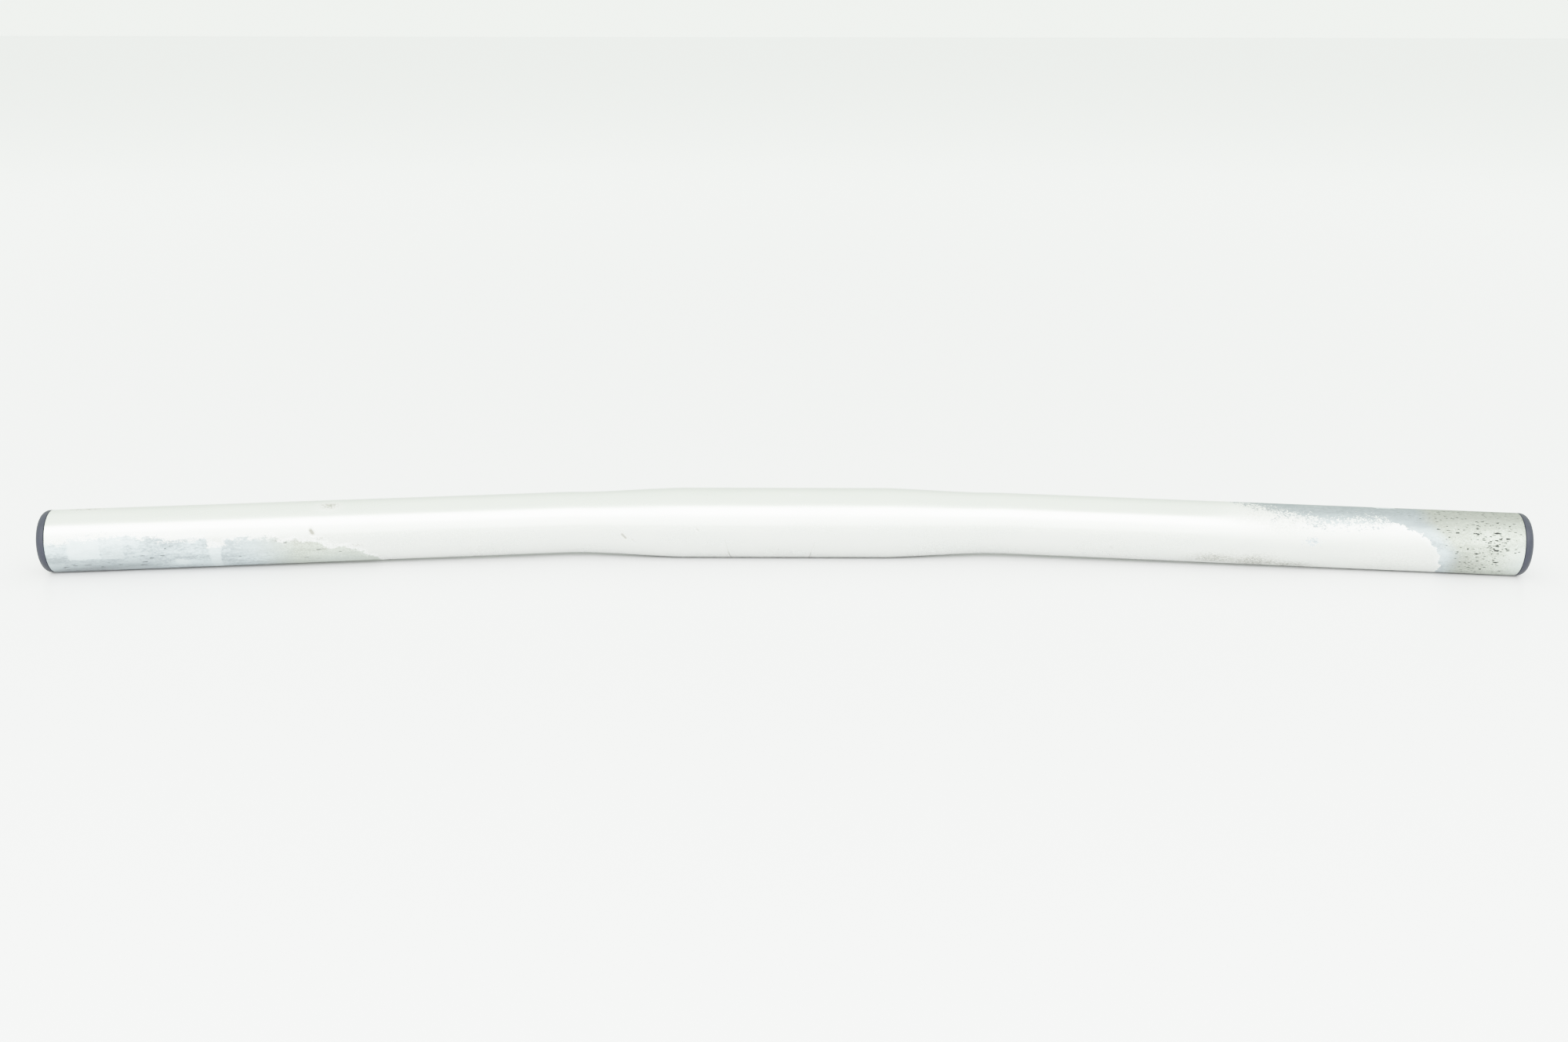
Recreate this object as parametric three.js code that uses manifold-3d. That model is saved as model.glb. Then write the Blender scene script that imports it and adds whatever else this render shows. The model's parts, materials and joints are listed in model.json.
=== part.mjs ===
// A flat bicycle handlebar: one swaged aluminium tube, thick in the middle for the stem and swept
// back on both sides, with a push-in plastic plug closing each end. Millimetres, +Z up.
//
// The origin is the middle of the clamp zone, on the tube's centre line. +X runs along the bar to
// the rider's right hand and -Y points back towards the rider. The bar is placed as it lies on a
// flat surface, where the clamp zone and both ends touch the plane z = -CLAMP_DIAMETER / 2.

import * as THREE from "three";
import { mergeVertices } from "three/addons/utils/BufferGeometryUtils.js";
import Module from "manifold-3d";

const wasm = await Module();
wasm.setup();

// The tube.
const TUBE_LENGTH = 520; // along the centre line, from end to end
const CLAMP_DIAMETER = 25.4;
const CLAMP_ZONE = 75; // the parallel middle, which the stem holds
const GRIP_DIAMETER = 22.2;
const TAPER_LENGTH = 34;
const TAPER_EASE = 0.3; // 0 is a plain cone, 1 runs smoothly into both diameters
const SWEEP = THREE.MathUtils.degToRad(6);
const BEND_CORNER = 77.5; // from the middle to where the two straight runs would cross
const BEND_RADIUS = 70;
const CLAMP_WALL = 2.2;
const GRIP_WALL = 2.1;
const END_CHAMFER = 0.35;

// The plugs. Depths go into the tube and heights go out of it, both from the tube's end face.
const PLUG_SEAT_GAP = 0.25; // between the tube's end face and the plug's head
const PLUG_RIM = 0.7; // height at which the rim turns into the corner
const PLUG_CORNER = 2.6;
const PLUG_HEIGHT = 3.6;
const GATE_RADIUS = 1.7; // the shallow dish that the moulding gate leaves in the crown
const GATE_DEPTH = 0.35;
const STEM_DEPTH = 19;
const STEM_RADIUS = 8.3;
const STEM_WALL = 1.7;
const STEM_FLOOR = 1; // depth at which the hollow stem is closed
const BARB_RADIUS = 8.8;
const BARB_DEPTHS = [5.5, 9.5, 13.5]; // of each barb's square shoulder
const BARB_LENGTH = 2.6;
const TIP_CHAMFER = 0.9;
const SLOT_WIDTH = 2.2;
const SLOT_START = 7.5;

// The facets that stand for round surfaces.
const SIDES = 48;
const TAPER_STEPS = 6;
const BEND_STEPS = 5;
const CORNER_STEPS = 5;
const CROWN_STEPS = 4;

const HALF_LENGTH = TUBE_LENGTH / 2;
const CLAMP_RADIUS = CLAMP_DIAMETER / 2;
const GRIP_RADIUS = GRIP_DIAMETER / 2;
const BEND_START = BEND_CORNER - BEND_RADIUS * Math.tan(SWEEP / 2);
const BEND_END = BEND_START + BEND_RADIUS * SWEEP;

// Evenly spaced values from low to high, both ends included.
function spread(low, high, steps) {
  return Array.from({ length: steps + 1 }, (_, i) => low + ((high - low) * i) / steps);
}

// The centre line in the plane of the sweep, at a distance along the tube from its middle:
// the point there, and how far the tube has turned from +X.
function centreLine(along) {
  const side = Math.sign(along) || 1;
  const run = Math.abs(along);
  const turn = THREE.MathUtils.clamp((run - BEND_START) / BEND_RADIUS, 0, SWEEP);
  const beyond = Math.max(0, run - BEND_END);
  const x = Math.min(run, BEND_START) + BEND_RADIUS * Math.sin(turn) + beyond * Math.cos(turn);
  const y = -BEND_RADIUS * (1 - Math.cos(turn)) - beyond * Math.sin(turn);
  return { point: new THREE.Vector3(side * x, y, 0), heading: -side * turn };
}

// The grips are thinner than the clamp zone, so on a flat surface the ends sink by the
// difference of the radii and the whole sweep leans about the X axis.
const END_REACH = -centreLine(HALF_LENGTH).point.y;
const LEAN = Math.asin((CLAMP_RADIUS - GRIP_RADIUS) / END_REACH);

// The radius at a distance from the middle, between its values in the clamp and grip zones.
function swaged(run, clampRadius, gripRadius) {
  const share = THREE.MathUtils.clamp((run - CLAMP_ZONE / 2) / TAPER_LENGTH, 0, 1);
  const eased = THREE.MathUtils.lerp(share, THREE.MathUtils.smoothstep(share, 0, 1), TAPER_EASE);
  return THREE.MathUtils.lerp(clampRadius, gripRadius, eased);
}

// The distances from the middle, on one side, at which the wall needs an edge.
function stations() {
  const taper = spread(CLAMP_ZONE / 2, CLAMP_ZONE / 2 + TAPER_LENGTH, TAPER_STEPS);
  const bend = spread(BEND_START, BEND_END, BEND_STEPS);
  return [...taper, ...bend];
}

// A profile (radius, distance along) turned about the X axis. The middle of each flat lies at
// the true radius, and one flat faces straight up once the bar leans. Side is 1 or -1, for a
// piece that points along +X or one that will be turned round to point along -X.
function turned(profile, side = 1) {
  const toCorner = 1 / Math.cos(Math.PI / SIDES);
  const corners = profile.map((p) => new THREE.Vector2(p.x * toCorner, p.y));
  const firstCorner = -side * LEAN + Math.PI / SIDES;
  return new THREE.LatheGeometry(corners, SIDES, firstCorner).rotateZ(-Math.PI / 2);
}

// The outline of one surface of the tube, from its middle to its end. The chamfer's step is
// inwards on the outer surface and outwards on the bore.
function wallLine(clampRadius, gripRadius, chamferStep) {
  const line = stations().map((run) => new THREE.Vector2(swaged(run, clampRadius, gripRadius), run));
  line.push(new THREE.Vector2(gripRadius, HALF_LENGTH - END_CHAMFER));
  line.push(new THREE.Vector2(gripRadius + chamferStep, HALF_LENGTH));
  return line;
}

// The same outline on the other side of the middle, in reverse order.
function mirrored(line) {
  return line.map((p) => new THREE.Vector2(p.x, -p.y)).reverse();
}

// The tube before bending: out along its outer surface and back through the bore.
function straightTube() {
  const outer = wallLine(CLAMP_RADIUS, GRIP_RADIUS, -END_CHAMFER);
  const bore = wallLine(CLAMP_RADIUS - CLAMP_WALL, GRIP_RADIUS - GRIP_WALL, END_CHAMFER);
  const outline = [...mirrored(outer), ...outer];
  outline.push(...[...bore].reverse(), ...mirrored(bore).reverse(), outline[0]);
  return turned(outline);
}

// Bends a straight geometry that lies along X so that it follows the centre line.
function bent(geometry) {
  const position = geometry.getAttribute("position");
  const corner = new THREE.Vector3();
  const upright = new THREE.Vector3(0, 0, 1);
  for (let i = 0; i < position.count; i++) {
    const { point, heading } = centreLine(position.getX(i));
    corner.set(0, position.getY(i), position.getZ(i)).applyAxisAngle(upright, heading).add(point);
    position.setXYZ(i, corner.x, corner.y, corner.z);
  }
  return geometry;
}

// Points on an arc of a plug's profile, its centre given as (radius, height).
function arc(centreX, centreY, radius, from, to, steps) {
  return spread(from, to, steps).map(
    (angle) =>
      new THREE.Vector2(centreX + radius * Math.cos(angle), centreY + radius * Math.sin(angle)),
  );
}

// The plug's head, from the rim round the corner and over the crown to the gate's dish.
function headLine() {
  const cornerX = GRIP_RADIUS - PLUG_CORNER;
  // The crown is a sphere centred on the axis, which the corner touches from inside.
  const drop = PLUG_HEIGHT - PLUG_RIM;
  const crown = (cornerX ** 2 + drop ** 2 - PLUG_CORNER ** 2) / (2 * (drop - PLUG_CORNER));
  const crownY = PLUG_HEIGHT - crown;
  const meeting = Math.atan2(PLUG_RIM - crownY, cornerX);
  const gateEdge = Math.acos(GATE_RADIUS / crown);
  return [
    ...arc(cornerX, PLUG_RIM, PLUG_CORNER, 0, meeting, CORNER_STEPS),
    ...arc(0, crownY, crown, meeting, gateEdge, CROWN_STEPS).slice(1),
    new THREE.Vector2(GATE_RADIUS - GATE_DEPTH, PLUG_HEIGHT - GATE_DEPTH),
    new THREE.Vector2(0, PLUG_HEIGHT - GATE_DEPTH),
  ];
}

// The plug's stem, from its hollow out over the tip and back along the barbs to the head.
function stemLine() {
  const hollow = STEM_RADIUS - STEM_WALL;
  const line = [
    new THREE.Vector2(0, -STEM_FLOOR),
    new THREE.Vector2(hollow, -STEM_FLOOR),
    new THREE.Vector2(hollow, -STEM_DEPTH),
    new THREE.Vector2(STEM_RADIUS - TIP_CHAMFER, -STEM_DEPTH),
  ];
  for (const depth of [...BARB_DEPTHS].reverse()) {
    line.push(new THREE.Vector2(STEM_RADIUS, -depth - BARB_LENGTH));
    line.push(new THREE.Vector2(BARB_RADIUS, -depth));
    line.push(new THREE.Vector2(STEM_RADIUS, -depth));
  }
  line.push(new THREE.Vector2(STEM_RADIUS, PLUG_SEAT_GAP));
  line.push(new THREE.Vector2(GRIP_RADIUS, PLUG_SEAT_GAP));
  return line;
}

// A closed geometry as a solid that can be cut.
function solidOf(geometry) {
  const bare = geometry.clone();
  bare.deleteAttribute("normal");
  bare.deleteAttribute("uv");
  const merged = mergeVertices(bare);
  return new wasm.Manifold(
    new wasm.Mesh({
      numProp: 3,
      vertProperties: merged.getAttribute("position").array,
      triVerts: new Uint32Array(merged.index.array),
    }),
  );
}

// A solid as a geometry again.
function geometryOf(solid) {
  const { vertProperties, triVerts } = solid.getMesh();
  const geometry = new THREE.BufferGeometry();
  geometry.setAttribute("position", new THREE.BufferAttribute(vertProperties, 3));
  geometry.setIndex(new THREE.BufferAttribute(triVerts, 1));
  geometry.computeVertexNormals();
  return geometry;
}

// A plug along X with its head outwards. Two crossed cuts split the stem into four springy legs.
function plugGeometry(side) {
  let plug = solidOf(turned([...stemLine(), ...headLine()], side));
  const slotLength = STEM_DEPTH - SLOT_START;
  for (const angle of [Math.PI / 4, -Math.PI / 4]) {
    const slot = new THREE.BoxGeometry(2 * slotLength, 3 * STEM_RADIUS, SLOT_WIDTH);
    slot.translate(-STEM_DEPTH, 0, 0).rotateX(angle);
    plug = plug.subtract(solidOf(slot));
  }
  return geometryOf(plug);
}

// Satin silver anodised aluminium.
const aluminium = new THREE.MeshStandardMaterial({
  color: 0xdcdfdd,
  roughness: 0.38,
  metalness: 0.85,
});

// Dark slate polyethylene.
const plastic = new THREE.MeshStandardMaterial({
  color: 0x4a5157,
  roughness: 0.5,
  metalness: 0,
});

function tubeMesh() {
  const tube = new THREE.Mesh(bent(straightTube()), aluminium);
  tube.name = "handlebar_tube";
  return tube;
}

// The plug in one end of the tube: side 1 is the rider's right, -1 the left.
function plugMesh(side, name) {
  const plug = new THREE.Mesh(plugGeometry(side), plastic);
  const { point, heading } = centreLine(side * HALF_LENGTH);
  plug.position.copy(point);
  plug.rotation.z = side > 0 ? heading : heading + Math.PI;
  plug.name = name;
  return plug;
}

const handlebar = new THREE.Group();
handlebar.add(tubeMesh(), plugMesh(-1, "end_plug_left"), plugMesh(1, "end_plug_right"));
handlebar.rotation.x = LEAN;

export default handlebar;
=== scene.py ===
"""The looks of a worn flat handlebar: a satin aluminium tube and two slate plastic end plugs.

Everything is in metres in the CAD's frame: origin in the middle of the stem clamp zone, +X along
the bar to the rider's right, -Y towards the rider, +Z up with the bar lying on the floor. Places on
the tube's surface are given as (along, angle): millimetres along the centre line from the middle,
and degrees round the tube from its top, growing towards the rider.
"""

import json
import math

import bmesh
import bpy
import numpy as np
from mathutils import Euler, Matrix, Vector


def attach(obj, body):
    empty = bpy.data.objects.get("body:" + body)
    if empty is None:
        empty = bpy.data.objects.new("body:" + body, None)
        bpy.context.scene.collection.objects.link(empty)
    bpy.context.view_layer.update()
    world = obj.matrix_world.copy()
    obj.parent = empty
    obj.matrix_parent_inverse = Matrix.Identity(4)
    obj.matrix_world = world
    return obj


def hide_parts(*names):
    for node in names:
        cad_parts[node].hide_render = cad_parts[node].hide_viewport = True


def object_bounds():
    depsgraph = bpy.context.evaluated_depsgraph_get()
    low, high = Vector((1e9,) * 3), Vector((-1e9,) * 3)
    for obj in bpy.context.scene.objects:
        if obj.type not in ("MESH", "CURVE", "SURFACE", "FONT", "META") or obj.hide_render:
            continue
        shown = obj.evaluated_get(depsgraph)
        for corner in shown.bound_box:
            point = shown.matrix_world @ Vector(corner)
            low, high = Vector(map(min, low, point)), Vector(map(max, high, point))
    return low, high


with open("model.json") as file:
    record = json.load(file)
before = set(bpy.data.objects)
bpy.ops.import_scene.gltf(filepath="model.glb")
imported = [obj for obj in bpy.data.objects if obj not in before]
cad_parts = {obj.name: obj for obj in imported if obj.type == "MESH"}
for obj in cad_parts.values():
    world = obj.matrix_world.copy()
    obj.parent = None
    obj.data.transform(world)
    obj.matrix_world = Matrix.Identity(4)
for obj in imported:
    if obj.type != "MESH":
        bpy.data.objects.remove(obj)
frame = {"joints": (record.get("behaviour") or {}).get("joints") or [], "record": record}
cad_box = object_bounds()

MM = 0.001

# The tube, in millimetres.
TUBE_LENGTH = 520
CLAMP_ZONE = 75
TAPER_LENGTH = 34
TAPER_EASE = 0.3
SWEEP = math.radians(6)
BEND_CORNER = 77.5
BEND_RADIUS = 70
CLAMP_WALL = 2.2
GRIP_WALL = 2.1
GRIP_RADIUS = 11.1
EDGE_ROUND = 0.35

# The plugs, in millimetres. Heights are measured outwards from the tube's end face.
SEAT_GAP = 0.1
RIM = 0.64
HEAD_RADIUS = 11.08
CORNER = 2.6
HEIGHT = 3.53
GATE_RADIUS = 1.7
GATE_DEPTH = 0.35
STEM_DEPTH = 19
STEM_RADIUS = 8.3
STEM_WALL = 1.7
STEM_FLOOR = 1
BARB_RADIUS = 8.8
BARB_DEPTHS = (13.5, 9.5, 5.5)
BARB_LENGTH = 2.6
SLOT_WIDTH = 2.2
SLOT_START = 7.5

# The light that is shown as white.
BRIGHTEST = 5.5

# How finely the round surfaces are cut.
TUBE_SIDES = 144
PLUG_SIDES = 96
RING_STEP = 1.5
FINE_STEP = 0.14
BORE_STEP = 8

mounts = {mount["name"]: mount for mount in frame["record"]["mounts"]}
CLAMP_RADIUS = mounts["stem_clamp"]["dims"]["r_mm"]
HALF_LENGTH = TUBE_LENGTH / 2
BEND_START = BEND_CORNER - BEND_RADIUS * math.tan(SWEEP / 2)
BEND_END = BEND_START + BEND_RADIUS * SWEEP


# ---------------------------------------------------------------- the tube's surface


def centre_line(along):
    """x, y and heading of the centre line in the plane of the sweep, for distances along it."""
    along = np.asarray(along, float)
    side = np.where(along < 0, -1, 1)
    run = np.abs(along)
    turn = np.clip((run - BEND_START) / BEND_RADIUS, 0, SWEEP)
    beyond = np.maximum(0, run - BEND_END)
    x = np.minimum(run, BEND_START) + BEND_RADIUS * np.sin(turn) + beyond * np.cos(turn)
    y = -BEND_RADIUS * (1 - np.cos(turn)) - beyond * np.sin(turn)
    return side * x, y, -side * turn


END_REACH = -float(centre_line(HALF_LENGTH)[1])
LEAN = math.asin((CLAMP_RADIUS - GRIP_RADIUS) / END_REACH)


def swaged(along, clamp_radius, grip_radius):
    """The tube's radius, eased between its values in the clamp and grip zones."""
    share = np.clip((np.abs(along) - CLAMP_ZONE / 2) / TAPER_LENGTH, 0, 1)
    smooth = share * share * (3 - 2 * share)
    eased = share + (smooth - share) * TAPER_EASE
    return clamp_radius + (grip_radius - clamp_radius) * eased


def placed(straight):
    """Points of the straight bar, in millimetres, bent and leant into the CAD's frame, in metres."""
    x, y, heading = centre_line(straight[:, 0])
    bent = np.stack(
        [
            x - np.sin(heading) * straight[:, 1],
            y + np.cos(heading) * straight[:, 1],
            straight[:, 2],
        ],
        axis=1,
    )
    lean = np.array(Matrix.Rotation(LEAN, 3, "X"))
    return bent @ lean.T * MM


# ---------------------------------------------------------------- marks, wear and painted shade

# Nicks that are cut into the tube: (along, angle) of both ends, half width and depth.
CLAMP_SCORES = [
    ((-21.2, 100), (-20.2, 125), 0.16, 0.06),
    ((-20.2, 125), (-18.6, 172), 0.24, 0.1),
    ((11.0, 103), (9.6, 128), 0.14, 0.05),
    ((9.6, 128), (8.7, 172), 0.22, 0.1),
]
DINGS = [
    ((-169.0, 66), (-168.3, 72), 0.7, 0.18),
    ((-58.3, 90), (-57.0, 97.5), 0.55, 0.13),
    ((-54.8, 100), (-54.2, 102), 0.35, 0.08),
    ((-31.4, 79), (-30.6, 82), 0.38, 0.1),
]
NICKS = CLAMP_SCORES + DINGS
# A nick this deep is full of grime.
DIRTY_DEPTH = 0.13


def unrolled(along, angle):
    """A place on the surface as flat coordinates in millimetres."""
    return np.array([along, math.radians(angle) * float(swaged(along, CLAMP_RADIUS, GRIP_RADIUS))])


def nick_depth(along, angle, radius):
    """How deep the nicks go at each point, in millimetres."""
    points = np.stack([along, np.radians(angle) * radius], axis=1)
    depth = np.zeros(len(points))
    for start, end, half_width, deepest in NICKS:
        a, b = unrolled(*start), unrolled(*end)
        share = np.clip((points - a) @ (b - a) / ((b - a) @ (b - a)), 0, 1)
        away = np.linalg.norm(points - a - share[:, None] * (b - a), axis=1)
        depth = np.maximum(depth, deepest * np.exp(-((away / half_width) ** 2)))
    return depth


def patch(points, outline):
    """Signed distance in millimetres from each (along, angle) to an outline, positive inside it."""
    flat = points * [1, math.radians(1) * GRIP_RADIUS]
    corners = np.array(outline) * [1, math.radians(1) * GRIP_RADIUS]
    inside = np.zeros(len(flat), bool)
    nearest = np.full(len(flat), np.inf)
    for a, b in zip(corners, np.roll(corners, -1, axis=0)):
        share = np.clip((flat - a) @ (b - a) / ((b - a) @ (b - a)), 0, 1)
        away = np.linalg.norm(flat - a - share[:, None] * (b - a), axis=1)
        nearest = np.minimum(nearest, away)
        crosses = (a[1] > flat[:, 1]) != (b[1] > flat[:, 1])
        rise = b[1] - a[1] if b[1] != a[1] else 1
        inside ^= crosses & (flat[:, 0] < a[0] + (flat[:, 1] - a[1]) * (b[0] - a[0]) / rise)
    return np.where(inside, nearest, -nearest)


def spot(points, along, angle, half_length, half_width):
    """1 at a place, falling smoothly to 0 over an oval given in millimetres."""
    u = (points[:, 0] - along) / half_length
    v = np.radians(points[:, 1] - angle) * GRIP_RADIUS / half_width
    return np.exp(-(u * u + v * v))


# Where the clear coat has gone, as outlines of (along, angle).
LEFT_WORN = [
    (-262, 75), (-252, 70), (-241, 64), (-231, 64), (-226, 67), (-216, 73), (-209, 72),
    (-199, 73), (-183, 75), (-177.5, 86), (-174, 81), (-167, 84), (-163.5, 97), (-158, 96),
    (-154, 102), (-151, 114), (-147, 130), (-146, 150), (-152, 205), (-205, 218), (-262, 212),
]
RIGHT_WORN = [
    (164, -2), (169, 10), (176, 26), (186, 39), (191, 47), (196, 46), (206, 41), (212, 36), (217, 40),
    (224, 55), (227.5, 70), (230.8, 88), (231.5, 106), (232.3, 127), (233, 155), (238, 180), (239, 250),
    (262, 250), (262, -110), (214, -96), (186, -70), (166, -44), (160, -20),
]
# A tongue of coat left on the left patch.
COAT_LEFT = [
    [(-204.8, 50), (-198.6, 50), (-199.4, 86), (-204.6, 86)],
]
# Pale remains of tape on the bare metal.
TAPE_REMAINS = [
    [(-252.5, 60), (-241.3, 60), (-241.3, 107), (-252.5, 108)],
    [(-204.7, 80), (-199.4, 80), (-200.9, 120), (-201, 150), (-204.4, 150)],
    [(-217, 112), (-212.5, 116), (-211.5, 128), (-215, 136), (-216.5, 125)],
    [(209.5, -30), (218.5, -26), (217.5, -7), (210.5, -5)],
]
THIN_REMAINS = [
    [(-241.3, 60), (-233.5, 60), (-233.5, 109), (-241.3, 108)],
]
# Soft oval spots of wear, as (along, angle, half length, half width, strength), with the half sizes
# in millimetres. Here the coat is only flecked.
FLECKED = [
    # on the right, at the frayed end of the worn patch and below it
    (188, 79, 5.0, 2.6, 1.38), (174.5, 38, 1.6, 5.0, 1.12), (168, 14, 2.6, 5.0, 1.14),
    (168, 61, 2.2, 1.5, 1.08),
    # on the left
    (-163, 15, 3.2, 1.7, 1.25), (-244, 60, 9, 1.6, 0.95), (-119, 94, 1.2, 3.2, 0.6),
    # at the back
    (-236, -78, 17, 4.5, 1.14), (-205, -112, 14, 3, 1.08), (-96, -75, 7, 2.5, 1.08),
    (70, -120, 12, 3.5, 1.1), (150, -95, 9, 3, 1.1),
]
# Smears of grime.
SMEARS = [
    # low on the right, in front
    (155, 127, 9, 3.2, 1.2), (169, 134, 9, 4.4, 1.4), (181, 142, 9, 3.0, 1.1),
    (160, 112, 8, 4, 0.3), (218, 116, 14, 8, 0.35),
    # high on the right, where the coat is frayed
    (168, 28, 9, 5, 0.55), (178, 48, 10, 4.5, 0.45),
    # in the middle
    (118, 105, 0.9, 1.2, 0.8), (4, 16, 1.6, 0.5, 0.5),
    # on the left, high up and along the corroded metal's edge
    (-163, 15, 3.4, 2.0, 1.6), (-248, -8, 7, 1.8, 1.2), (-168.7, 70, 1.0, 1.0, 1.5),
    (-173, 84, 5, 1.6, 0.6), (-185, 76, 4, 1.2, 0.5), (-180.5, 81, 1.5, 0.8, 1.3),
    (-166, 82, 1.8, 0.8, 1.1), (-153.5, 97, 2.2, 0.8, 1.0), (-164.5, 103, 0.8, 0.6, 1.3),
    # at the back
    (-222, -92, 16, 6, 0.5), (30, -100, 14, 4, 0.4), (118, -82, 8, 3, 0.6),
]
# Thin dark dashes in bare metal.
DASHED = [
    # on the left patch
    (-229, 106, 5, 5, 1.5), (-220, 96, 5, 4, 0.8), (-246, 137, 17, 4.0, 1.2),
    (-212, 132, 16, 3.0, 0.7), (-190, 110, 9, 5, 0.35), (-180, 88, 4, 2, 0.9),
    (-166, 100, 5, 2.5, 0.8), (-157, 112, 7, 4, 0.7), (-172, 120, 12, 4, 0.55),
    (-230, 190, 20, 10, 0.5),
    # on the right patch
    (219, 12, 4, 6, 0.8), (205, 0, 16, 5, 0.4), (248, 190, 12, 12, 0.5), (215, -60, 22, 8, 0.5),
]
# More pits in corroded metal where the strength is above 0, and fewer where it is below.
PITTED = [
    (250.5, 70, 5, 5, 0.6), (243, 108, 8, 6, 0.32), (238, 34, 13, 7, 0.16), (258, 112, 5, 8, -0.3),
    (-229, 108, 5, 6, 0.2), (-243, 138, 14, 3, 0.2),
]
# Paler bare metal where the strength is above 0, and darker where it is below.
TONED = [
    (228, 66, 5, 9, 0.15), (234, 105, 3, 8, 0.1), (261, 112, 6, 7, 0.5), (238, 108, 6, 5, -0.6),
    (227, 50, 6, 7, -0.5), (-190, 95, 7, 5, 0.5), (-160, 134, 14, 5, 0.35),
    (-248, 142, 16, 6, -0.9), (-228, 128, 8, 6, -0.35),
]


def deepest_inside(points, outlines):
    """Signed distance in millimetres to the nearest of several outlines, positive inside one."""
    # An outline may run past 180 degrees, so each point is tried there too.
    beyond = points + [0, 360]
    depth = np.full(len(points), -np.inf)
    for outline in outlines:
        depth = np.maximum(depth, np.maximum(patch(points, outline), patch(beyond, outline)))
    return np.clip(depth, -20, 20)


def strongest(points, spots):
    """The strongest of several spots at each (along, angle)."""
    found = np.zeros(len(points))
    for *shape, strength in spots:
        found = np.maximum(found, strength * spot(points, *shape))
    return found


def together(points, spots):
    """The sum of several spots at each (along, angle)."""
    return sum(strength * spot(points, *shape) for *shape, strength in spots)


def rising(values, start, length):
    """0 up to a start, rising evenly to 1 over a length. A negative length falls instead."""
    return np.clip((values - start) / length, 0, 1)


def worn_field(points, flecked):
    """Millimetres inside the patches that have lost their coat, negative outside them."""
    worn = deepest_inside(points, [LEFT_WORN, RIGHT_WORN])
    worn = np.minimum(worn, -deepest_inside(points, COAT_LEFT))
    # A flecked spot of strength 9/8 or more is bare in its middle.
    return np.maximum(worn, flecked * 8 - 9)


def wear_fields(points):
    """What has happened to the surface at each (along, angle), and the shade painted on it, as named
    values for the material.
    """
    along, angle = points.T
    left, right = along < 0, along > 0
    # Corroded, greenish metal: the inner end of the left patch and the outer end of the right one.
    left_corroded = left * rising(along, -190, 16)
    edge = 224 + 10 * rising(np.abs(angle), 30, 60)
    right_corroded = rising(along, edge, 5)
    # Pits are thickest near the right end, with a few on the left patch.
    pitting = 0.15 * left_corroded + 0.44 * rising(along, edge - 3, 8) + together(points, PITTED)
    # The coat's edge is frayed where the right patch begins, and fades in streaks on the left.
    flecked = strongest(points, FLECKED)
    right_frayed = rising(along, 158, 6) * rising(along, 216, -4)
    frayed = np.where(along > 214, 0.07, 0.16) + 0.84 * right_frayed
    streaked = 0.9 * left
    softness = np.maximum(streaked, 1.3 * right_frayed)
    # The metal on top of the right end is painted darker than the rest: painted shade, where less light
    # falls on the top.
    tone_and_shade = together(points, TONED) - right * rising(angle, 58, -40)
    scored = nick_depth(along, angle, swaged(along, CLAMP_RADIUS, GRIP_RADIUS)) / DIRTY_DEPTH
    return {
        "worn": worn_field(points, flecked),
        "tape": deepest_inside(points, TAPE_REMAINS),
        "thin_tape": deepest_inside(points, THIN_REMAINS),
        "corroded": np.maximum(left_corroded, right_corroded),
        "pitting": np.clip(pitting, 0, 1),
        "dashes": strongest(points, DASHED),
        "frayed": np.maximum(frayed, flecked),
        "softness": np.maximum(softness, flecked),
        "streaked": streaked,
        "tone_and_shade": np.clip(tone_and_shade, -1, 1),
        "matte": rising(along, 146, 28),
        "grime": np.clip(strongest(points, SMEARS), 0, 1),
        "scored": np.clip(scored, 0, 1),
    }


# ---------------------------------------------------------------- meshes


def finish_mesh(name, points, faces, sharp_angle):
    """A smooth-shaded object from points and quads, with edges kept sharp above an angle."""
    mesh = bpy.data.meshes.new(name)
    mesh.from_pydata(points.tolist(), [], faces)
    mesh.polygons.foreach_set("use_smooth", [True] * len(mesh.polygons))
    mesh.set_sharp_from_angle(angle=math.radians(sharp_angle))
    mesh.update()
    piece = bpy.data.objects.new(name, mesh)
    bpy.context.scene.collection.objects.link(piece)
    return piece


def add_field(mesh, name, values):
    """Keeps a value for each point, which the material reads by name."""
    kind = "FLOAT" if values.ndim == 1 else "FLOAT_VECTOR"
    layer = mesh.attributes.new(name, kind, "POINT")
    layer.data.foreach_set("value" if kind == "FLOAT" else "vector", values.astype("f").ravel())


def ring_places():
    """Distances along the bar of the outer surface's rings, close together where a nick is cut."""
    places = set(np.round(np.arange(-HALF_LENGTH + 2, HALF_LENGTH - 1, RING_STEP), 3))
    for start, end, half_width, _ in NICKS:
        low = min(start[0], end[0]) - 3 * half_width
        high = max(start[0], end[0]) + 3 * half_width
        places |= set(np.round(np.arange(low, high, FINE_STEP), 3))
    places |= {-CLAMP_ZONE / 2, CLAMP_ZONE / 2}
    ordered = sorted(places)
    kept = [ordered[0]]
    for place in ordered[1:]:
        if place - kept[-1] > 0.08:
            kept.append(place)
    return np.array(kept)


def end_rings():
    """(distance in from the end face, radius) from the grip surface round the edge to the bore."""
    turns = np.linspace(0, math.pi / 2, 5)
    outer = [
        (EDGE_ROUND * (1 - math.sin(t)), GRIP_RADIUS - EDGE_ROUND * (1 - math.cos(t))) for t in turns
    ]
    bore = GRIP_RADIUS - GRIP_WALL
    inner = [(0, bore + EDGE_ROUND), (EDGE_ROUND, bore)]
    return outer + [(0, (outer[-1][1] + inner[0][1]) / 2)] + inner


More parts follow.
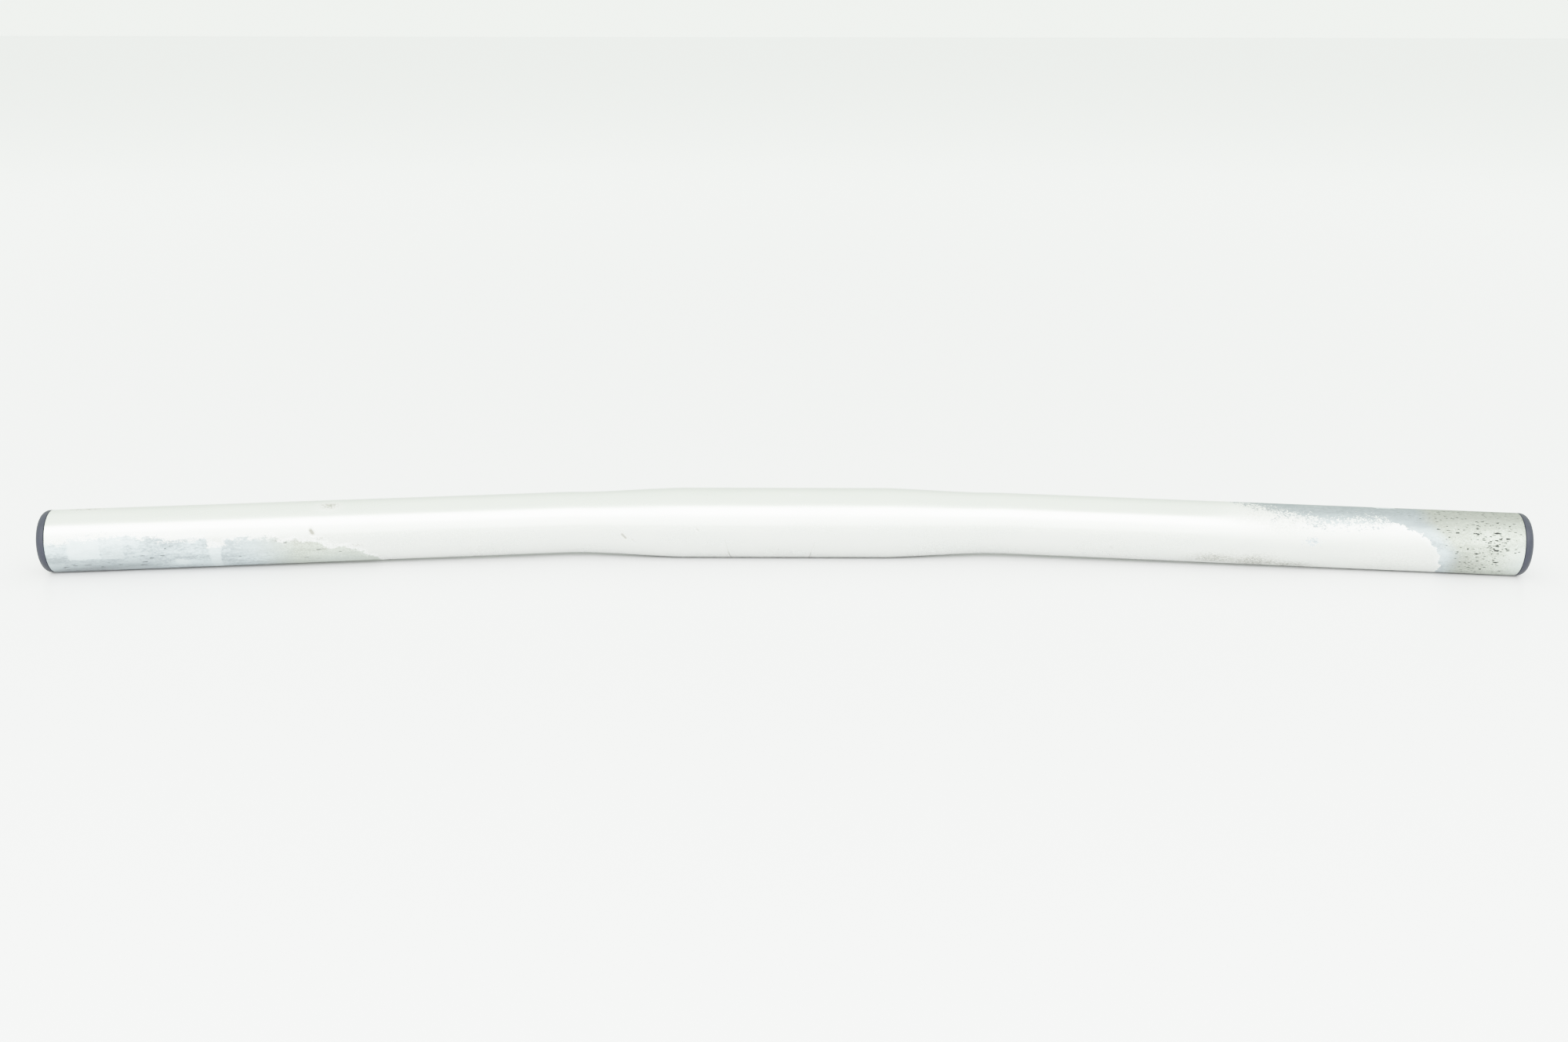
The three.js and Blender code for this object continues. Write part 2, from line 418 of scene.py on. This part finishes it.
def tube_rings():
    """(along, radius, surface) of every ring, out over the outer surface and back in the bore.

    Surface is 0 outside, 1 on a cut end and 2 in the bore."""
    outer = [(s, float(swaged(s, CLAMP_RADIUS, GRIP_RADIUS)), 0) for s in ring_places()]
    bore_places = np.linspace(HALF_LENGTH - 2, 2 - HALF_LENGTH, int(TUBE_LENGTH / BORE_STEP))
    clamp_bore, grip_bore = CLAMP_RADIUS - CLAMP_WALL, GRIP_RADIUS - GRIP_WALL
    bore = [(s, float(swaged(s, clamp_bore, grip_bore)), 2) for s in bore_places]
    end = end_rings()
    right = [(HALF_LENGTH - depth, radius, 1) for depth, radius in end]
    left = [(depth - HALF_LENGTH, radius, 1) for depth, radius in reversed(end)]
    return outer + right + bore + left


def make_tube():
    """The handlebar as one smooth closed tube, with its nicks cut in and its wear recorded."""
    rings = np.array(tube_rings())
    turns = np.arange(TUBE_SIDES) * 2 * math.pi / TUBE_SIDES - LEAN
    along = np.repeat(rings[:, 0], TUBE_SIDES)
    radius = np.repeat(rings[:, 1], TUBE_SIDES)
    surface = np.repeat(rings[:, 2], TUBE_SIDES)
    turn = np.tile(turns, len(rings))
    angle = (np.degrees(turn) + 180) % 360 - 180
    outside = surface == 0
    radius[outside] -= nick_depth(along[outside], angle[outside], radius[outside])
    straight = np.stack([along, -radius * np.sin(turn), radius * np.cos(turn)], axis=1)
    faces = []
    for ring in range(len(rings)):
        here, there = ring * TUBE_SIDES, (ring + 1) % len(rings) * TUBE_SIDES
        for side in range(TUBE_SIDES):
            after = (side + 1) % TUBE_SIDES
            faces.append((here + side, here + after, there + after, there + side))
    tube = finish_mesh("handlebar", placed(straight), faces, sharp_angle=35)
    add_field(tube.data, "straight", straight)
    add_field(tube.data, "inside", surface / 2)
    for name, values in wear_fields(np.stack([along, angle], axis=1)).items():
        add_field(tube.data, name, values)
    return tube


def arc(centre, radius, start, end, steps):
    """Points of an arc of a plug's profile, as (radius, height)."""
    return [
        (centre[0] + radius * math.cos(t), centre[1] + radius * math.sin(t))
        for t in np.linspace(start, end, steps)
    ]


def plug_profile():
    """(radius, height) of a plug, from the hollow's middle over the stem and head to the crown."""
    hollow = STEM_RADIUS - STEM_WALL
    line = [(0, -STEM_FLOOR), (hollow - 0.5, -STEM_FLOOR), (hollow, -STEM_FLOOR - 0.5)]
    line += [(hollow, -d) for d in np.linspace(3, STEM_DEPTH - 0.3, 8)]
    line += [(hollow + 0.3, -STEM_DEPTH), (STEM_RADIUS - 0.9, -STEM_DEPTH)]
    line += [(STEM_RADIUS - 0.65, -STEM_DEPTH + 0.25)]
    for depth in BARB_DEPTHS:
        line += [
            (STEM_RADIUS, -depth - BARB_LENGTH),
            (BARB_RADIUS - 0.1, -depth - 0.25),
            (BARB_RADIUS, -depth - 0.08),
            (BARB_RADIUS - 0.05, -depth),
            (STEM_RADIUS + 0.1, -depth),
            (STEM_RADIUS, -depth + 0.12),
        ]
    line += [(STEM_RADIUS, SEAT_GAP - 0.4), (STEM_RADIUS + 0.4, SEAT_GAP)]
    line += [(HEAD_RADIUS - 0.15, SEAT_GAP), (HEAD_RADIUS, SEAT_GAP + 0.15)]
    corner_centre = (HEAD_RADIUS - CORNER, RIM)
    drop = HEIGHT - RIM
    crown = (corner_centre[0] ** 2 + drop**2 - CORNER**2) / (2 * (drop - CORNER))
    crown_centre = (0, HEIGHT - crown)
    meeting = math.atan2(RIM - crown_centre[1], corner_centre[0])
    line += arc(corner_centre, CORNER, 0, meeting, 14)
    line += arc(crown_centre, crown, meeting, math.acos(GATE_RADIUS / crown), 8)[1:]
    dish = GATE_RADIUS - GATE_DEPTH
    floor = HEIGHT - GATE_DEPTH
    line += [(dish + 0.12, floor + 0.12), (dish - 0.1, floor), (0, floor)]
    return line


def lathe(name, profile, sides, sharp_angle):
    """A closed profile that starts and ends on the axis, turned about +Z, in metres."""
    rings = np.array(profile[1:-1])
    turns = np.arange(sides) * 2 * math.pi / sides
    wall = np.stack(
        [
            np.outer(rings[:, 0], np.cos(turns)).ravel(),
            np.outer(rings[:, 0], np.sin(turns)).ravel(),
            np.repeat(rings[:, 1], sides),
        ],
        axis=1,
    )
    points = np.vstack([wall, [(0, 0, profile[0][1]), (0, 0, profile[-1][1])]]) * MM
    low_pole, high_pole = len(wall), len(wall) + 1
    top = (len(rings) - 1) * sides
    faces = []
    for side in range(sides):
        after = (side + 1) % sides
        faces.append((low_pole, after, side))
        faces.append((high_pole, top + side, top + after))
        for row in range(len(rings) - 1):
            here, there = row * sides, (row + 1) * sides
            faces.append((here + side, here + after, there + after, there + side))
    return finish_mesh(name, points, faces, sharp_angle)


def slotted(piece):
    """Splits a plug's stem into four legs with two crossed cuts."""
    cutter_mesh = bpy.data.meshes.new("slot_cutter")
    cutter = bpy.data.objects.new("slot_cutter", cutter_mesh)
    bpy.context.scene.collection.objects.link(cutter)
    shape = bmesh.new()
    depth = (STEM_DEPTH - SLOT_START) * MM
    for turn in (45, 135):
        made = bmesh.ops.create_cube(shape, size=1)["verts"]
        size = Matrix.Diagonal((3 * STEM_RADIUS * MM, SLOT_WIDTH * MM, 2 * depth, 1))
        place = Matrix.Translation((0, 0, -STEM_DEPTH * MM))
        around = Matrix.Rotation(math.radians(turn), 4, "Z")
        bmesh.ops.transform(shape, matrix=place @ around @ size, verts=made)
    shape.to_mesh(cutter_mesh)
    shape.free()
    cut = piece.modifiers.new("slots", "BOOLEAN")
    cut.operation = "DIFFERENCE"
    cut.solver = "EXACT"
    cut.use_self = True
    cut.object = cutter
    with bpy.context.temp_override(object=piece):
        bpy.ops.object.modifier_apply(modifier=cut.name)
    bpy.data.objects.remove(cutter)
    bpy.data.meshes.remove(cutter_mesh)


def make_plug(side, name, joint):
    """A plug in one end of the tube: side 1 is the right, -1 the left. Its joint gives its axis."""
    plug = lathe(name, plug_profile(), PLUG_SIDES, sharp_angle=32)
    slotted(plug)
    end_centre = placed(np.array([[side * HALF_LENGTH, 0, 0]]))[0]
    axis = Vector(joint["axis"]).normalized()
    upward = (Vector((0, 0, 1)) - axis * axis.z).normalized()
    turned = Matrix((upward, axis.cross(upward), axis)).transposed().to_4x4()
    plug.data.transform(Matrix.Translation(end_centre) @ turned)
    return plug


# ---------------------------------------------------------------- materials


class Nodes:
    """A node tree. Methods take and give sockets, and take plain numbers and colours too."""

    def __init__(self, tree):
        self.tree = tree

    def add(self, kind, inputs=None, **settings):
        """A new node. inputs gives a value or another node's socket for inputs by name or place."""
        node = self.tree.nodes.new(kind)
        for key, value in settings.items():
            setattr(node, key, value)
        for key, value in (inputs or {}).items():
            self.set(node.inputs[key], value)
        return node

    def set(self, socket, value):
        if isinstance(value, bpy.types.NodeSocket):
            self.tree.links.new(value, socket)
        elif socket.type == "RGBA":
            socket.default_value = (*value, 1)
        else:
            socket.default_value = value

    def field(self, name, output="Fac"):
        """A value that the mesh keeps for each point."""
        return self.add("ShaderNodeAttribute", attribute_name=name).outputs[output]

    def maths(self, operation, *values):
        return self.add("ShaderNodeMath", dict(enumerate(values)), operation=operation).outputs[0]

    def times(self, first, second):
        return self.maths("MULTIPLY", first, second)

    def plus(self, first, second):
        return self.maths("ADD", first, second)

    def most(self, first, second):
        return self.maths("MAXIMUM", first, second)

    def less(self, value):
        """1 minus a value."""
        return self.maths("SUBTRACT", 1.0, value)

    def swing(self, noise, size, level=0.0):
        """Noise centred on a level, reaching about half of size to each side."""
        return self.maths("MULTIPLY_ADD", self.maths("SUBTRACT", noise, 0.5), size, level)

    def stretched(self, vector, factors):
        """Coordinates multiplied along each axis."""
        inputs = {0: vector, 1: factors}
        return self.add("ShaderNodeVectorMath", inputs, operation="MULTIPLY").outputs[0]

    def warped(self, vector, scale, amount):
        """Coordinates pushed about by noise, by up to about half the amount."""
        noise = self.add("ShaderNodeTexNoise", {"Vector": vector, "Scale": scale, "Detail": 2.0})
        centred = self.add(
            "ShaderNodeVectorMath", {0: noise.outputs["Color"], 1: (0.5, 0.5, 0.5)},
            operation="SUBTRACT",
        )
        inputs = {0: centred.outputs[0], 1: (amount, amount, amount), 2: vector}
        return self.add("ShaderNodeVectorMath", inputs, operation="MULTIPLY_ADD").outputs[0]

    def noise(self, vector, scale, detail=3, roughness=0.55, distortion=0.0):
        inputs = {
            "Vector": vector,
            "Scale": scale,
            "Detail": detail,
            "Roughness": roughness,
            "Distortion": distortion,
        }
        return self.add("ShaderNodeTexNoise", inputs).outputs["Fac"]

    def dots(self, vector, scale, share, largest):
        """1 in dots scattered one to a cell, in a share of the cells, with mixed sizes."""
        cells = self.add("ShaderNodeTexVoronoi", {"Vector": vector, "Scale": scale})
        chance = self.add("ShaderNodeSeparateColor", {0: cells.outputs["Color"]}).outputs[0]
        size = self.times(self.maths("SUBTRACT", share, chance), 0.7)
        size = self.maths("MINIMUM", size, largest)
        return self.ramp(self.maths("SUBTRACT", size, cells.outputs["Distance"]), 0.0, 0.06)

    def ramp(self, value, low, high, to_low=0.0, to_high=1.0):
        """value carried smoothly from low..high to to_low..to_high, and held beyond them."""
        inputs = {0: value, 1: low, 2: high, 3: to_low, 4: to_high}
        node = self.add("ShaderNodeMapRange", inputs, interpolation_type="SMOOTHSTEP")
        return node.outputs[0]

    def blend(self, share, first, second):
        """The colour that is first where share is 0 and second where it is 1."""
        node = self.add("ShaderNodeMix", {0: share, 6: first, 7: second}, data_type="RGBA")
        return node.outputs[2]

    def fade(self, share, first, second):
        """The number that is first where share is 0 and second where it is 1."""
        return self.add("ShaderNodeMix", {0: share, 2: first, 3: second}).outputs[0]

    def bump(self, height, distance, below=None):
        """A normal tilted by a height, in metres times distance, on top of another bump."""
        inputs = {"Height": height, "Distance": distance}
        if below is not None:
            inputs["Normal"] = below
        return self.add("ShaderNodeBump", inputs).outputs[0]


def new_material(name):
    material = bpy.data.materials.new(name)
    material.use_nodes = True
    return material, Nodes(material.node_tree)


def set_surface(nodes, **values):
    """Sets the surface shader's sockets by name, with _ for a space."""
    surface = nodes.tree.nodes["Principled BSDF"]
    for key, value in values.items():
        nodes.set(surface.inputs[key.replace("_", " ")], value)


# Colours of the coat, the metal and what lies on them, as linear light.
COATED = (0.80, 0.815, 0.785)
COATED_DULL = (0.765, 0.785, 0.755)
BARE = (0.44, 0.50, 0.52)
BARE_DARK = (0.26, 0.294, 0.308)
# Shaded copies of the bare and corroded colours, for painted shade.
BARE_SHADED = (0.18, 0.203, 0.214)
CORRODED = (0.28, 0.298, 0.262)
CORRODED_PALE = (0.43, 0.46, 0.41)
CORRODED_SHADED = (0.19, 0.2, 0.178)
TAPE = (0.46, 0.515, 0.525)
LIFTED = (0.90, 0.91, 0.90)
PIT = (0.012, 0.013, 0.012)
DASH = (0.05, 0.052, 0.05)
GRIME = (0.12, 0.115, 0.093)
BORE = (0.40, 0.41, 0.40)
BORE_DARK = (0.27, 0.28, 0.28)


def worn_metal(n, place, curls):
    """Where the coat is gone, and where it has lifted and turned white just outside that."""
    ragged = n.noise(place, 0.35, detail=5, roughness=0.6, distortion=0.4)
    streaks = n.noise(n.stretched(place, (0.16, 1, 1)), 1.6, detail=5, roughness=0.7)
    edge = n.swing(ragged, 5.0, n.field("worn"))
    edge = n.swing(curls, n.times(n.field("frayed"), 28.0), edge)
    edge = n.swing(streaks, n.times(n.field("streaked"), 5.5), edge)
    width = n.plus(n.field("softness"), 0.15)
    worn = n.ramp(edge, n.times(width, -1.0), width)
    lifting = n.times(n.ramp(edge, -1.6, -0.2), n.less(worn))
    return worn, lifting


def tape_remains(n, place):
    """Where remains of tape lie, half as strong where they are thin."""
    torn = n.noise(place, 1.1, detail=5, roughness=0.7)
    thick = n.ramp(n.swing(torn, 2.4, n.field("tape")), -0.2, 0.4)
    thin = n.ramp(n.swing(torn, 2.4, n.field("thin_tape")), -0.2, 0.4)
    return n.most(thick, n.times(thin, 0.5))


def metal_colour(n, place, cloud, speckle, curls, corroded, tape):
    """Bare metal: mottled grey, greenish where it is corroded, pale under tape, and painted darker
    towards shaded colours: painted shade on top of the right end, and darker patches of metal
    elsewhere.
    """
    tone_and_shade = n.field("tone_and_shade")
    # Painted shade: where the tone falls below 0 the metal is painted darker, mostly on top of the
    # right end.
    shade = n.times(n.times(tone_and_shade, -1.0), n.swing(speckle, -1.6, 0.85))
    mottle = n.swing(speckle, 1.0, cloud)
    grey = n.blend(n.ramp(mottle, 0.3, 0.75), BARE, BARE_DARK)
    grey = n.blend(shade, grey, BARE_SHADED)
    fine = n.noise(n.stretched(place, (0.7, 1, 1)), 2.1, detail=4, roughness=0.75)
    bloom = n.maths("MULTIPLY_ADD", tone_and_shade, 0.15, n.swing(cloud, 0.6, fine))
    green = n.blend(n.ramp(bloom, 0.32, 0.68), CORRODED, CORRODED_PALE)
    green = n.blend(n.ramp(curls, 0.63, 0.7, 0.0, 0.5), green, LIFTED)
    green = n.blend(shade, green, CORRODED_SHADED)
    colour = n.blend(corroded, grey, green)
    return n.blend(n.most(n.times(tape, 0.75), n.times(tone_and_shade, 0.9)), colour, TAPE)


def pits_and_dashes(n, place):
    """Dark marks of two kinds, both longer along the bar than round it."""
    dashed = n.warped(n.stretched(place, (0.3, 1, 1)), 0.6, 0.8)
    dashed = n.warped(dashed, 3.0, 0.35)
    pitting = n.field("pitting")
    large = n.dots(dashed, 1.0, n.times(pitting, 0.75), 0.3)
    small = n.dots(dashed, 1.9, n.times(pitting, 1.3), 0.3)
    dashes = n.dots(n.stretched(dashed, (0.7, 1, 1)), 1.25, n.field("dashes"), 0.3)
    return n.most(large, small), dashes


def grime_share(n, place):
    """Grime in blotchy smears and in the nicks."""
    smear = n.noise(n.stretched(place, (0.75, 1, 1)), 1.5, detail=5, roughness=0.8, distortion=0.6)
    smeared = n.times(n.field("grime"), n.ramp(smear, 0.4, 0.6, 0.2, 1.0))
    return n.most(smeared, n.field("scored"))


def bar_material():
    """Satin clear-coated aluminium with worn, corroded and pitted patches, and painted shade on top of
    the right end's bare metal.
    """
    material, n = new_material("satin_aluminium")
    place = n.field("straight", "Vector")
    # Marks run along the bar, so coordinates for them are squeezed along it.
    squeezed = n.stretched(place, (0.28, 1, 1))
    satin = n.noise(squeezed, 0.12, detail=4, roughness=0.6)
    cloud = n.noise(squeezed, 0.22, detail=5, roughness=0.6, distortion=0.3)
    speckle = n.noise(n.stretched(place, (0.55, 1, 1)), 1.5, detail=4, roughness=0.66)
    curls = n.noise(n.stretched(place, (0.85, 1, 1)), 1.0, detail=5, roughness=0.68, distortion=1.0)
    # The coated tube was polished round and round, so its grain runs that way.
    grain = n.noise(n.stretched(place, (2.6, 0.5, 0.5)), 2.4, detail=4, roughness=0.7)
    # The bore was never finished: dull, with lines left by drawing the tube.
    drawn = n.noise(n.stretched(place, (0.03, 1, 1)), 2.2, detail=4)
    bore = n.ramp(n.field("inside"), 0.6, 0.9)

    worn, lifting = worn_metal(n, place, curls)
    corroded = n.times(n.field("corroded"), worn)
    tape = n.times(tape_remains(n, place), worn)
    pits, dashes = (n.times(marks, worn) for marks in pits_and_dashes(n, place))
    grime = grime_share(n, place)

    # Colour, from the coat outwards.
    coat_colour = n.blend(n.ramp(satin, 0.3, 0.75), COATED, COATED_DULL)
    bare_colour = metal_colour(n, place, cloud, speckle, curls, corroded, tape)
    colour = n.blend(worn, coat_colour, bare_colour)
    colour = n.blend(n.times(lifting, 0.7), colour, LIFTED)
    colour = n.blend(n.times(dashes, 0.85), colour, DASH)
    colour = n.blend(pits, colour, PIT)
    colour = n.blend(n.times(grime, 0.9), colour, GRIME)
    colour = n.blend(bore, colour, n.blend(n.ramp(drawn, 0.35, 0.65), BORE, BORE_DARK))

    # Roughness.
    coat_rough = n.maths("MULTIPLY_ADD", n.field("matte"), 0.2, n.ramp(satin, 0.3, 0.7, 0.23, 0.29))
    rough = n.fade(worn, coat_rough, n.ramp(cloud, 0.3, 0.7, 0.5, 0.6))
    rough = n.fade(corroded, rough, 0.65)
    rough = n.fade(n.most(tape, bore), rough, 0.5)
    rough = n.fade(n.most(pits, grime), rough, 0.85)
    rough = n.swing(grain, 0.12, rough)

    # Less of the surface is bare metal where it is corroded, pitted or dirty.
    metal = n.fade(worn, 1.0, 0.5)
    metal = n.fade(n.most(tape, corroded), metal, 0.4)
    metal = n.fade(n.most(pits, grime), metal, 0.0)

    # Relief: grain, the step down into bare metal, and pits.
    normal = n.bump(grain, 0.000012)
    normal = n.bump(n.times(bore, drawn), 0.00006, below=normal)
    normal = n.bump(n.less(worn), 0.00003, below=normal)
    normal = n.bump(n.times(speckle, n.plus(n.times(worn, 0.4), corroded)), 0.00004, below=normal)
    normal = n.bump(n.less(pits), 0.00012, below=normal)
    set_surface(n, Base_Color=colour, Roughness=rough, Metallic=metal, Normal=normal)
    return material


# Colours of the plugs, as linear light.
SLATE = (0.009, 0.011, 0.021)
SLATE_PALE = (0.016, 0.018, 0.029)
SCUFFED = (0.055, 0.06, 0.068)


def plug_material():
    """Slate-black polyethylene with a fine moulded texture, scuffed where it stands proud."""
    material, n = new_material("slate_plastic")
    # Object coordinates are in metres, and the patterns are sized in millimetres.
    place = n.stretched(n.add("ShaderNodeTexCoord").outputs["Object"], (1000, 1000, 1000))
    cloud = n.noise(place, 0.25, detail=4)
    colour = n.blend(n.ramp(cloud, 0.3, 0.7), SLATE, SLATE_PALE)
    scuffs = n.noise(n.stretched(place, (2.4, 0.35, 0.9)), 1.3, detail=4, roughness=0.7)
    scuffs = n.ramp(scuffs, 0.62, 0.7)
    colour = n.blend(n.times(scuffs, 0.35), colour, SCUFFED)
    grain = n.noise(place, 6, detail=3, roughness=0.7)
    rough = n.fade(scuffs, n.ramp(cloud, 0.3, 0.7, 0.45, 0.55), 0.66)
    normal = n.bump(grain, 0.00003)
    normal = n.bump(scuffs, 0.00003, below=normal)
    set_surface(n, Base_Color=colour, Roughness=rough, Normal=normal, IOR=1.5)
    return material


# The floor's colours, painted paler far off as painted light where the lamps reach less, and where it
# is best lit and how far that reaches, in metres.
FLOOR = (0.52, 0.52, 0.525)
FLOOR_FAR_PAINTED_LIGHT = (0.89, 0.89, 0.9)
LIT_PLACE = (0, -0.4, 0)
LIT_REACH = 2.2


def floor_material():
    """A plain pale tabletop, a little glossy, painted paler where the lights don't reach it: painted
    light that evens out the floor.
    """
    material, n = new_material("pale_floor")
    place = n.add("ShaderNodeTexCoord").outputs["Object"]
    inputs = {0: place, 1: LIT_PLACE}
    distance = n.add("ShaderNodeVectorMath", inputs, operation="DISTANCE").outputs["Value"]
    # Painted light: the colour grows paler away from the place the lamps light best.
    colour = n.blend(n.ramp(distance, 0.0, LIT_REACH), FLOOR, FLOOR_FAR_PAINTED_LIGHT)
    set_surface(n, Base_Color=colour, Roughness=0.4, IOR=1.45)
    return material


# ---------------------------------------------------------------- stage


def make_floor():
    """A large flat floor under the bar."""
    bpy.ops.mesh.primitive_plane_add(size=60, location=(0, 0, cad_box[0].z))
    floor = bpy.context.object
    floor.name = "floor"
    floor.data.materials.append(floor_material())


def make_light(name, place, target, size, radiance):
    """A soft rectangular light aimed at a point, which the camera doesn't see."""
    data = bpy.data.lights.new(name, "AREA")
    data.shape = "RECTANGLE"
    data.size, data.size_y = size
    data.energy = radiance * math.pi * size[0] * size[1]
    light = bpy.data.objects.new(name, data)
    bpy.context.scene.collection.objects.link(light)
    light.location = place
    aim = Vector(target) - Vector(place)
    light.rotation_euler = aim.to_track_quat("-Z", "Y").to_euler()
    light.visible_camera = False
    return light


def make_lights():
    """A long softbox over the front, a weaker panel below it, and a key light for the floor."""
    make_light("softbox", (0, -1.2, 1.6), (0, -1.2, 0), (4.5, 1.16), 3.2)
    make_light("front_panel", (0, -2.17, 0.96), (0, 0, 0), (4.5, 1.63), 1.7)
    key = make_light("key", (0, -2.2, 1.27), (0, 0, 0), (1.6, 0.9), 42)
    # Only the softbox and the panel are mirrored in the bar.
    key.visible_glossy = False


def make_world():
    """Bright surroundings, a little darker low down, up to a pale strip along the horizon."""
    world = bpy.data.worlds.new("pale_room")
    world.use_nodes = True
    n = Nodes(world.node_tree)
    direction = n.add("ShaderNodeTexCoord").outputs["Generated"]
    height = n.add("ShaderNodeSeparateXYZ", {0: direction}).outputs["Z"]
    background = world.node_tree.nodes["Background"]
    n.set(background.inputs["Color"], (0.93, 1.0, 0.91))
    strip = n.ramp(height, 0.0, 0.12, 0.45, 0.0)
    n.set(background.inputs["Strength"], n.plus(strip, n.ramp(height, 0.1, 0.95, 1.72, 2.45)))
    bpy.context.scene.world = world


def expose():
    """A bright exposure: equal steps of light come ever closer together towards white."""
    view = bpy.context.scene.view_settings
    view.view_transform = "Standard"
    view.use_curve_mapping = True
    mapping = view.curve_mapping
    mapping.white_level = (BRIGHTEST, BRIGHTEST, BRIGHTEST)
    curve = mapping.curves[3]
    curve.points[1].location = (1, 1 - math.exp(-BRIGHTEST))
    for light in (0.12, 0.3, 0.6, 1, 1.5, 2, 2.6, 3.3, 4.2):
        curve.points.new(light / BRIGHTEST, 1 - math.exp(-light))
    mapping.update()


# The camera, in metres, degrees and millimetres of lens.
CAMERA_PLACE = (0.00095, -0.56022, 0.1733)
CAMERA_BELOW_LEVEL = 17.14
CAMERA_HEADING = 0.108
CAMERA_ROLL = 0.09
LENS = 36.815
SENSOR = 36


def make_camera():
    """A normal lens a little above the bar, squarely in front of it."""
    data = bpy.data.cameras.new("camera")
    data.sensor_width = SENSOR
    data.lens = LENS
    data.clip_start = 0.01
    data.clip_end = 200
    camera = bpy.data.objects.new("camera", data)
    bpy.context.scene.collection.objects.link(camera)
    tilt, heading = math.radians(90 - CAMERA_BELOW_LEVEL), math.radians(CAMERA_HEADING)
    aim = Euler((tilt, 0, heading)).to_matrix().to_4x4()
    roll = Matrix.Rotation(math.radians(CAMERA_ROLL), 4, "Z")
    camera.matrix_world = Matrix.Translation(CAMERA_PLACE) @ aim @ roll
    bpy.context.scene.camera = camera


# ---------------------------------------------------------------- the scene

make_camera()
make_world()
make_floor()
make_lights()
expose()

joints = {joint["child"]: joint for joint in frame["joints"]}

handlebar = make_tube()
handlebar.data.materials.append(bar_material())
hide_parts("handlebar_tube")
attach(handlebar, "handlebar")

slate = plug_material()
for side, body in ((-1, "end_plug_left"), (1, "end_plug_right")):
    plug = make_plug(side, "plug_left" if side < 0 else "plug_right", joints[body])
    plug.data.materials.append(slate)
    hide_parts(body)
    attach(plug, body)
